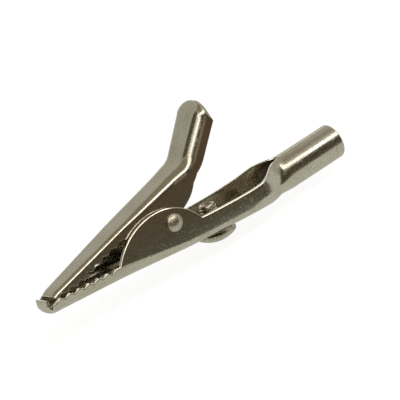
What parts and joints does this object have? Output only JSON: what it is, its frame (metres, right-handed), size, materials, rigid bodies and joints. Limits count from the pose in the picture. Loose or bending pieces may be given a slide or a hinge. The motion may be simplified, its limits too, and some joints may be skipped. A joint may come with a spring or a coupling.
{
  "type": "alligator clip",
  "caption": "Nickel-plated sprung alligator clip with toothed jaws, a riveted hinge, a thumb lever, a binding screw and a rolled plug socket.",
  "frame": {"origin": "centre of the plug socket's mouth", "axes": "+X out of the socket's mouth along its bore, +Y along the hinge, +Z towards the thumb lever"},
  "size_m": [0.0517, 0.0078, 0.0191],
  "materials": {
    "nickel_plate": "bright nickel plate on stamped steel, slightly warm",
    "spring_wire": "drawn spring wire, nickel plated"
  },
  "bodies": {
    "fixed": {"fixed_jaw": "nickel_plate", "pivot_rivet": "nickel_plate", "torsion_spring": "spring_wire"},
    "moving": {"moving_jaw": "nickel_plate"},
    "screw": {"terminal_screw": "nickel_plate"}
  },
  "joints": [
    {"name": "jaw_hinge", "type": "hinge", "parent": "fixed", "child": "moving", "pos_m": [-0.03005, 0, 0.0038], "axis": [0, 1, 0], "range_deg": [0, 30], "stiffness_Nm_per_rad": 0.3, "deforming": ["torsion_spring"]},
    {"name": "terminal_screw_travel", "type": "slide", "parent": "fixed", "child": "screw", "axis": [0.0837, 0, 0.9965], "range_m": [-0.0015, 0.0005]}
  ]
}
